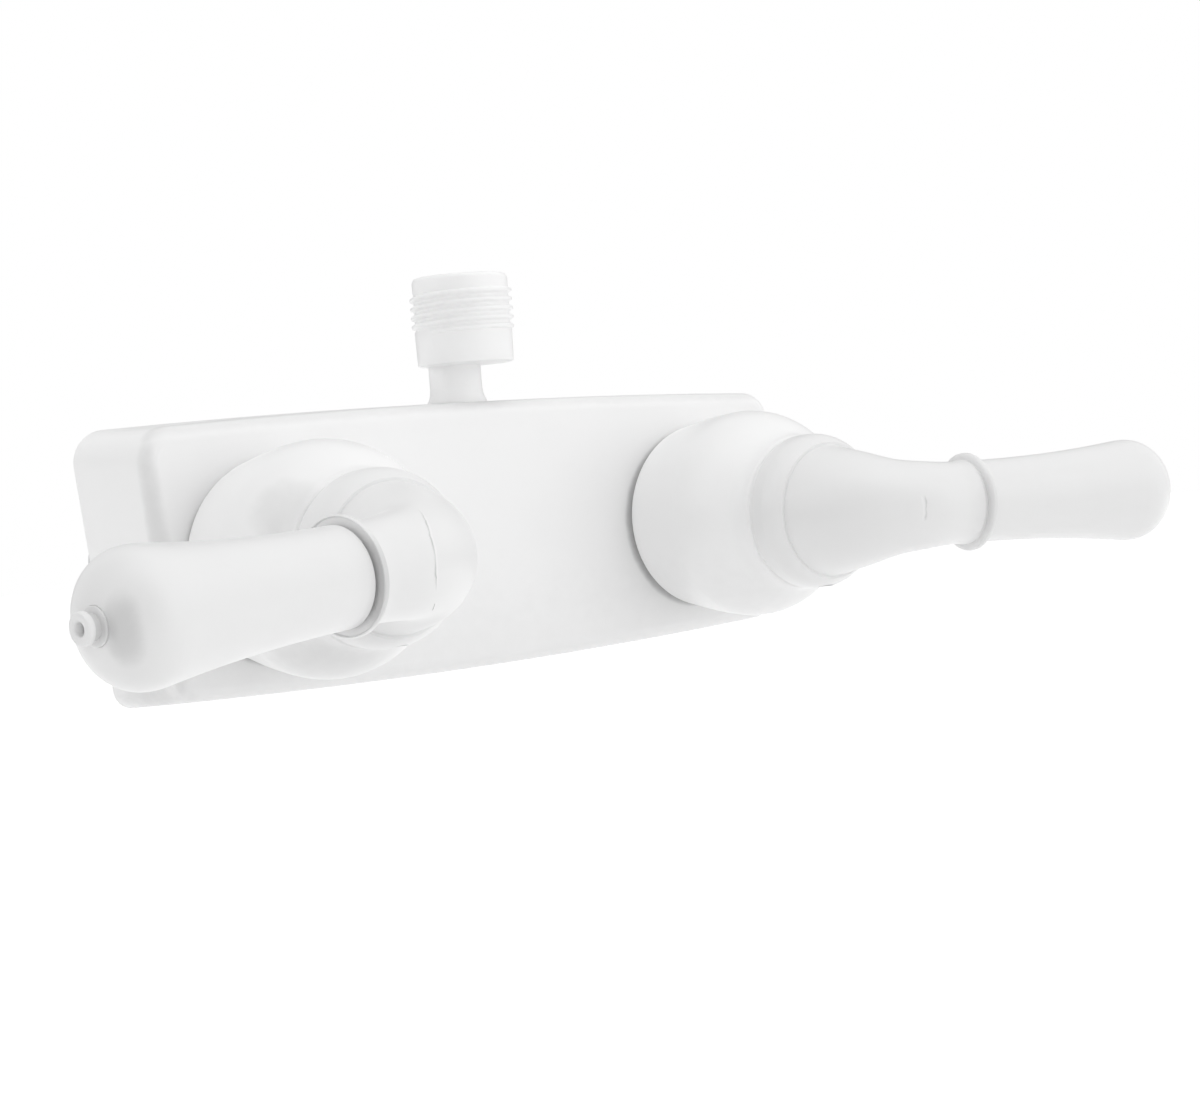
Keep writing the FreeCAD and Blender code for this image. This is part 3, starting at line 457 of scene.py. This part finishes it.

# Painted shade and painted shadows: (centre, axis, reach along, reach across, darkness, radius of a
# ring), in mm
upAxis, outAxis = (0, 0, 1), (0, 1, 0)
# painted shade: darker towards the bottom, where less light comes from below
paintedShadeBelow = ((0, -60, -40), upAxis, 36, 100000, 0.08)
paintedShades = {
    "body_shell": [
        paintedShadeBelow,
        # painted shade in the crevice round the foot of each bell
        ((-50.8, -26, -0.9), outAxis, 20, 2.1, 0.4, 17.1),
        ((50.8, -26, -0.5), outAxis, 20, 2.2, 0.38, 17.2),
        # painted shade on the rounded edge at the shell's left end
        ((-73.4, -25, 0), (-0.05, 0, 0.998), 34, 2.8, 0.15),
        # painted shadow of the hot bulb on the shell's lower-left corner
        ((-74, -14, -28), upAxis, 11, 15, 0.2),
        # painted shade along the rounded top front edge of the shell
        ((0, -24.2, -1619), outAxis, 3.2, 2.4, 0.11, 1646)],
    "hot_bell": [
        paintedShadeBelow,
        # painted shadow of the hot grip on the bell's lower part
        ((-56, -53, -19), upAxis, 10, 17, 0.12),
        # painted shadow beside the hot hub on the bell's crown
        ((-64.5, -57, 9.5), upAxis, 7, 8, 0.11)],
    "cold_bell": [paintedShadeBelow],
    # painted shade on the hot hub under the ring
    "hot_handle_hub": [((-55, -77, -12.5), upAxis, 5.5, 12, 0.13)],
}
for node, marks in paintedShades.items():
    for mark in marks:
        addPaintedShade(ownFinishes[node], *mark)
finishes = {
    "white_plastic": whitePlastic, "grey_plastic": greyPlastic, "ceramic": ceramicDisc,
    "seal_rubber": sealRubber, "brass": brassMetal, "screw_steel": screwSteel,
}
print("finishes made")


def dress(piece, material):
    piece.data.materials.clear()
    piece.data.materials.append(material)


for subpart in frame["record"]["subparts"]:
    node, slot = subpart["node"], subpart["material_slot"]
    ofLever = slot == "white_plastic" and ("lever" in node or "hub" in node)
    plain = leverPlastic if ofLever else finishes[slot]
    dress(frame["nodes"][node], ownFinishes.get(node, plain))
    smoothShade(frame["nodes"][node], angle=28)
print("frame nodes dressed")


# Outlet: neck with a flared foot, offset head with a collar and a real thread
outlet = {
    "neckOut": 13.9, "headOut": 18.3,
    "neck": [(5.35, 8.5), (5.35, 13), (3.84, 13), (3.84, 15), (5.35, 15), (5.35, 35.7)],
    "foot": [(5.3, 26), (6.1, 26), (6.1, 27.8), (5.95, 28.1), (5.7, 28.6), (5.5, 29.3),
             (5.36, 30.4), (5.3, 30.5)],
    "footTilt": 2.2, "footHeight": 27.62, "footCutter": 30,
    "head": [(9.25, 35.1), (9.6, 35.25), (9.75, 35.6), (9.9, 42.0), (9.8, 42.2), (9.65, 42.4),
             (9.6, 49.8), (9.7, 50.2), (9.75, 51.9), (9.6, 52.4), (9.3, 52.8), (9.0, 52.9)],
    "bore": [(6.4, 38.3), (6.4, 53.5)],
    "port": [(3, 8.0), (3, 38.6)],
    "pitch": 1.814, "turns": 4.6, "threadStart": 41.47, "rootRadius": 9.3, "crestRadius": 10.4,
    "rootHeight": 1.75, "crestHeight": 0.45, "startAngle": 165, "turnSteps": 96, "fadeSteps": 11,
}


def makeThread(spec):
    clearSelection()
    middle = (spec["rootRadius"] + spec["crestRadius"]) / 2000
    bpy.ops.mesh.primitive_plane_add(size=1, rotation=(math.pi / 2, 0, 0))
    ridge = bpy.context.object
    ridge.name = "threadRidge"
    bpy.ops.object.transform_apply(location=True, rotation=True, scale=True)
    wide = (spec["crestRadius"] - spec["rootRadius"]) / 1000
    bpy.ops.object.mode_set(mode="EDIT")
    bpy.ops.mesh.select_all(action="SELECT")
    bpy.ops.transform.resize(value=(wide, 1, spec["rootHeight"] / 1000), center_override=(0, 0, 0))
    bpy.ops.transform.translate(value=(middle, 0, 0))
    bpy.ops.mesh.delete(type="ONLY_FACE")
    bpy.ops.object.mode_set(mode="OBJECT")
    for vertex in ridge.data.vertices:
        vertex.select = vertex.co.x > middle
    bpy.ops.object.mode_set(mode="EDIT")
    narrow = spec["crestHeight"] / spec["rootHeight"]
    bpy.ops.transform.resize(value=(1, 1, narrow), center_override=(0, 0, 0))
    bpy.ops.object.mode_set(mode="OBJECT")
    corners = len(ridge.data.vertices)
    wind = ridge.modifiers.new("wind", "SCREW")
    wind.axis = "Z"
    wind.angle = math.radians(360 * spec["turns"])
    wind.screw_offset = spec["pitch"] * spec["turns"] / 1000
    wind.iterations = 1
    wind.steps = wind.render_steps = int(spec["turnSteps"] * spec["turns"])
    pick(ridge)
    bpy.ops.object.modifier_apply(modifier=wind.name)
    count = len(ridge.data.vertices)
    for step in range(spec["fadeSteps"]):  # both ends run out into the collar
        sink = 1 - (1 - step / spec["fadeSteps"]) * (1 - spec["rootRadius"] / spec["crestRadius"])
        for vertex in ridge.data.vertices:
            vertex.select = min(vertex.index, count - 1 - vertex.index) // corners == step
        bpy.ops.object.mode_set(mode="EDIT")
        bpy.ops.transform.resize(value=(sink, sink, 1), center_override=(0, 0, 0))
        bpy.ops.object.mode_set(mode="OBJECT")
    bpy.ops.object.mode_set(mode="EDIT")
    bpy.ops.mesh.select_all(action="DESELECT")
    bpy.ops.mesh.select_non_manifold()
    bpy.ops.mesh.fill_holes(sides=0)
    bpy.ops.mesh.select_all(action="SELECT")
    bpy.ops.mesh.normals_make_consistent(inside=False)
    bpy.ops.object.mode_set(mode="OBJECT")
    ridge.rotation_euler.z = math.radians(spec["startAngle"])
    ridge.location = (0, -spec["headOut"] / 1000, spec["threadStart"] / 1000)
    settle(ridge)
    return ridge


neckAt = (0, -outlet["neckOut"] / 1000, 0)
headAt = (0, -outlet["headOut"] / 1000, 0)
outletSpout = turned("outletSpout", outlet["head"], 128, headAt)
combine(outletSpout, makeThread(outlet), "UNION")
combine(outletSpout, turned("neck", outlet["neck"], at=neckAt), "UNION")
foot = turned("foot", outlet["foot"], at=neckAt)
cutterSize = outlet["footCutter"] / 1000
clearSelection()
bpy.ops.mesh.primitive_cube_add(
    size=cutterSize, location=(0, neckAt[1], outlet["footHeight"] / 1000 - cutterSize / 2),
    rotation=(math.radians(outlet["footTilt"]), 0, 0))
combine(foot, bpy.context.object, "DIFFERENCE")  # the foot stands on the shell's sloping top
combine(outletSpout, foot, "UNION")
combine(outletSpout, turned("bore", outlet["bore"], at=headAt), "DIFFERENCE")
combine(outletSpout, turned("port", outlet["port"], 64, neckAt), "DIFFERENCE")
dress(outletSpout, outletPlastic)
smoothShade(outletSpout)
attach(outletSpout, "faucet")
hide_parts("outlet_spigot")
print("outlet made")


# Levers: turned grips, finials and rings, and the seats that close the gaps between bell and hub
lever = {
    "out": 81.3, "tilt": 13.1, "stem": 50.8, "droop": {"hot": 2.9, "cold": 1.1},
    "gripRoot": 8.2, "gripStart": {"hot": 21.75, "cold": 22.2}, "chamfer": 0.25, "waistAt": 24,
    "bulb": 10.4, "bulbAt": 60.1, "blend": 18, "shoulder": 4.4, "gripEnd": 67.1,
    "waistSteps": 24, "bulbSteps": 16,
    "recess": [(3.0, 67.16), (2.94, 67.1), (2.93, 66.8)],
    "finial": [(2, 8), (2, 66.85), (2.92, 66.85), (2.92, 67.35), (2.75, 67.5), (1.95, 67.6),
               (1.95, 68.7), (2.2, 68.72), (2.4, 68.85), (2.45, 69.2), (2.42, 69.65),
               (2.25, 69.86), (2.0, 69.9), (1.35, 69.9), (1.15, 69.8), (1.0, 69.5),
               (0.85, 68.9), (0.8, 68.1)],
    "ring": [(8.4, 19.51), (8.4, 20.08), (8.95, 20.12), (9.4, 20.24), (9.68, 20.5),
             (9.75, 20.85), (9.74, 21.15), (9.66, 21.35), (9.5, 21.42), (9.36, 21.35),
             (9.25, 21.1), (6.2, 21.05), (6.2, 21.7)],
    "seat": [(15.05, 60.7), (15.05, 61.33)],
    # a painted shade mark is (reach along, reach across, darkness)
    "neckAt": 68.1, "neckShade": (0.9, 40, 0.2),
    "patchAt": 66.6, "patchOut": 5.2, "patchLow": -0.9, "patchShadow": (6.4, 3.8, 0.2),
    "ringAt": 20.8, "ringLow": {"hot": -3, "cold": -1},
    "ringShade": {"hot": (12.5, 8, 0.2), "cold": (10, 8, 0.08)},
}


def arcBetween(start, end, radius, turn, steps):
    start, end = Vector(start), Vector(end)
    chord = end - start
    across = Vector((-chord.y, chord.x)).normalized() * turn
    centre = (start + end) / 2 + across * math.sqrt(max(radius ** 2 - chord.length ** 2 / 4, 0))
    sweep = 2 * math.asin(min(chord.length / 2 / radius, 1)) * turn
    spoke = start - centre
    turns = (Matrix.Rotation(sweep * step / steps, 2) for step in range(1, steps + 1))
    return [tuple(centre + part @ spoke) for part in turns]


def gripRings(spec, start):
    # root, hollow waist and bulb as one S-curve, then the rounded cap with the finial's recess
    step = spec["bulb"] - spec["gripRoot"]
    rise = spec["bulbAt"] - spec["waistAt"]
    bothRounds = (step ** 2 + rise ** 2) / (2 * step)
    share = spec["blend"] / bothRounds
    middle = (spec["bulb"] - step * share, spec["bulbAt"] - rise * share)
    cap, fall = spec["gripEnd"] - spec["bulbAt"], spec["bulb"] - spec["shoulder"]
    capRound = (cap ** 2 + fall ** 2) / (2 * fall)
    chamfer, bulbSteps = spec["chamfer"], spec["bulbSteps"]
    rings = [(spec["gripRoot"] - chamfer, start), (spec["gripRoot"], start + chamfer)]
    rings += [(spec["gripRoot"], spec["waistAt"])]
    rings += arcBetween(rings[-1], middle, bothRounds - spec["blend"], -1, spec["waistSteps"])
    rings += arcBetween(middle, (spec["bulb"], spec["bulbAt"]), spec["blend"], 1, bulbSteps)
    rings += arcBetween(rings[-1], (spec["shoulder"], spec["gripEnd"]), capRound, 1, bulbSteps)
    return rings + spec["recess"]


for name, side in (("hot", -1), ("cold", 1)):
    tilt, droop = math.radians(lever["tilt"]), math.radians(lever["droop"][name])
    along = Vector((
        side * math.cos(tilt) * math.cos(droop),
        -math.sin(tilt),
        -math.cos(tilt) * math.sin(droop)))
    root = Vector((side * lever["stem"], -lever["out"], 0))
    # across the lever, away from the wall
    ahead = (Vector((0, -1, 0)) - along * math.sin(tilt)).normalized()
    paint = leverPlastic.copy()
    paint.name = name + "LeverPlastic"
    # painted shadow of the knob on the bulb's cap beside the finial
    patch = root + along * lever["patchAt"] + ahead * lever["patchOut"]
    patch += Vector((0, 0, lever["patchLow"]))
    # painted shade in the finial's neck under the knob
    addPaintedShade(paint, root + along * lever["neckAt"], along, *lever["neckShade"])
    addPaintedShade(paint, patch, upAxis, *lever["patchShadow"])
    # the ring's copy of the lever plastic, with painted shade in the groove between grip and arm
    ringPaint = leverPlastic.copy()
    ringPaint.name = name + "RingPlastic"
    front = root + along * lever["ringAt"] + ahead * lever["bulb"]
    front += Vector((0, 0, lever["ringLow"][name]))
    addPaintedShade(ringPaint, front, upAxis, *lever["ringShade"][name])
    parts = (
        ("Grip", gripRings(lever, lever["gripStart"][name]), "grip", paint),
        ("Finial", lever["finial"], "finial", paint),
        ("Ring", lever["ring"], "ring", ringPaint))
    for label, rings, node, finish in parts:
        piece = turned(name + label, rings, 128)
        piece.rotation_euler = along.to_track_quat("Z", "Y").to_euler()
        piece.location = root / 1000
        settle(piece)
        dress(piece, finish)
        smoothShade(piece)
        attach(piece, name + "_handle")
        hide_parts(name + "_lever_" + node)
    seat = turned(name + "HubSeat", lever["seat"], 128)
    seat.rotation_euler = (math.radians(90), 0, 0)
    seat.location = (side * lever["stem"] / 1000, 0, 0)
    settle(seat)
    dress(seat, whitePlastic)
    smoothShade(seat)
    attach(seat, "faucet")
print("levers made")


# Floor, background and lamps
studio = {
    "floorHeight": -0.30, "floorSize": 12.0, "floorTone": 0.9, "floorRoughness": 0.9,
    "floorGlow": 0.65, "tentDiffuse": 0.443, "tentGloss": 0.98,
    # (from and to, where -1 is behind the faucet and 1 behind the camera; strengths there)
    "tentSteps": [
        ((-1.0, -0.6), (0.24, 1.0)),
        ((0.0, 0.4), (1.0, 1.68)),
        ((0.45, 0.95), (1.0, 0.52)),
    ],
    "lampAim": (0, -0.05, 0), "lampSize": 1.6,
    "lamps": [
        # name, place, watts
        ("cameraLamp", (-0.9, -1.3, 0.3), 3.9),
        ("frontLamp", (0.65, -1.4, 0.35), 5.6),
        ("leftLamp", (-1.2, 0.9, 0.3), 6.3),
        ("rightLamp", (1.5, -0.2, 0.25), 5.4),
        ("topLamp", (0.15, -0.13, 1.45), 9.8),
    ],
}
clearSelection()
bpy.ops.mesh.primitive_plane_add(size=studio["floorSize"], location=(0, 0, studio["floorHeight"]))
floor = bpy.context.object
floor.name = "studioFloor"
settle(floor)
floorPaint = bpy.data.materials.new("floorPaint")
floorPaint.use_nodes = True
floorTree = floorPaint.node_tree
floorSurface = floorTree.nodes["Principled BSDF"]
tone = studio["floorTone"]
floorSurface.inputs["Base Color"].default_value = (tone, tone, tone, 1)
floorSurface.inputs["Roughness"].default_value = studio["floorRoughness"]
glow = floorTree.nodes.new("ShaderNodeEmission")
path = floorTree.nodes.new("ShaderNodeLightPath")
seen = addMath(floorTree, "MAXIMUM", path.outputs["Is Camera Ray"], path.outputs["Is Glossy Ray"])
seen = addMath(floorTree, "MULTIPLY", seen, studio["floorGlow"])
floorTree.links.new(seen, glow.inputs["Strength"])
both = floorTree.nodes.new("ShaderNodeAddShader")
floorTree.links.new(floorSurface.outputs["BSDF"], both.inputs[0])
floorTree.links.new(glow.outputs["Emission"], both.inputs[1])
floorTree.links.new(both.outputs["Shader"], floorTree.nodes["Material Output"].inputs["Surface"])
dress(floor, floorPaint)

world = bpy.data.worlds.new("studioWorld")
bpy.context.scene.world = world
world.use_nodes = True
sky = world.node_tree
background = sky.nodes["Background"]
skyPath = sky.nodes.new("ShaderNodeLightPath")
skyWay = sky.nodes.new("ShaderNodeTexCoord").outputs["Generated"]
facing = sky.nodes.new("ShaderNodeVectorMath")
facing.operation = "DOT_PRODUCT"
facing.inputs[1].default_value = -viewDir
sky.links.new(skyWay, facing.inputs[0])

# The tent is brightest beside the camera and dim behind the faucet, so its edges stay grey
tentGloss = studio["tentGloss"]
for span, ends in studio["tentSteps"]:
    tentStep = addRange(sky, facing.outputs["Value"], span, ends, smooth=True)
    tentGloss = addMath(sky, "MULTIPLY", tentStep, tentGloss)


def pickStrength(factor, otherwise, chosen):
    pickNode = sky.nodes.new("ShaderNodeMix")
    pickNode.data_type = "FLOAT"
    sky.links.new(factor, pickNode.inputs["Factor"])
    for socket, value in (("A", otherwise), ("B", chosen)):
        feed(sky, value, pickNode.inputs[socket])
    return pickNode.outputs["Result"]


reflected = pickStrength(skyPath.outputs["Is Glossy Ray"], studio["tentDiffuse"], tentGloss)
seenDirect = addMath(
    sky, "MAXIMUM", skyPath.outputs["Is Camera Ray"], skyPath.outputs["Is Transmission Ray"])
sky.links.new(pickStrength(seenDirect, reflected, 1.0), background.inputs["Strength"])
background.inputs["Color"].default_value = (1, 1, 1, 1)

for name, place, watts in studio["lamps"]:
    lampData = bpy.data.lights.new(name, "AREA")
    lampData.shape = "DISK"
    lampData.size = studio["lampSize"]
    lampData.energy = watts
    lamp = bpy.data.objects.new(name, lampData)
    bpy.context.scene.collection.objects.link(lamp)
    lamp.location = place
    lamp.visible_glossy = False  # the tent alone makes the reflections
    aim = Vector(studio["lampAim"]) - Vector(place)
    lamp.rotation_euler = aim.to_track_quat("-Z", "Y").to_euler()
bpy.context.scene.view_settings.view_transform = "Standard"
print("studio set")
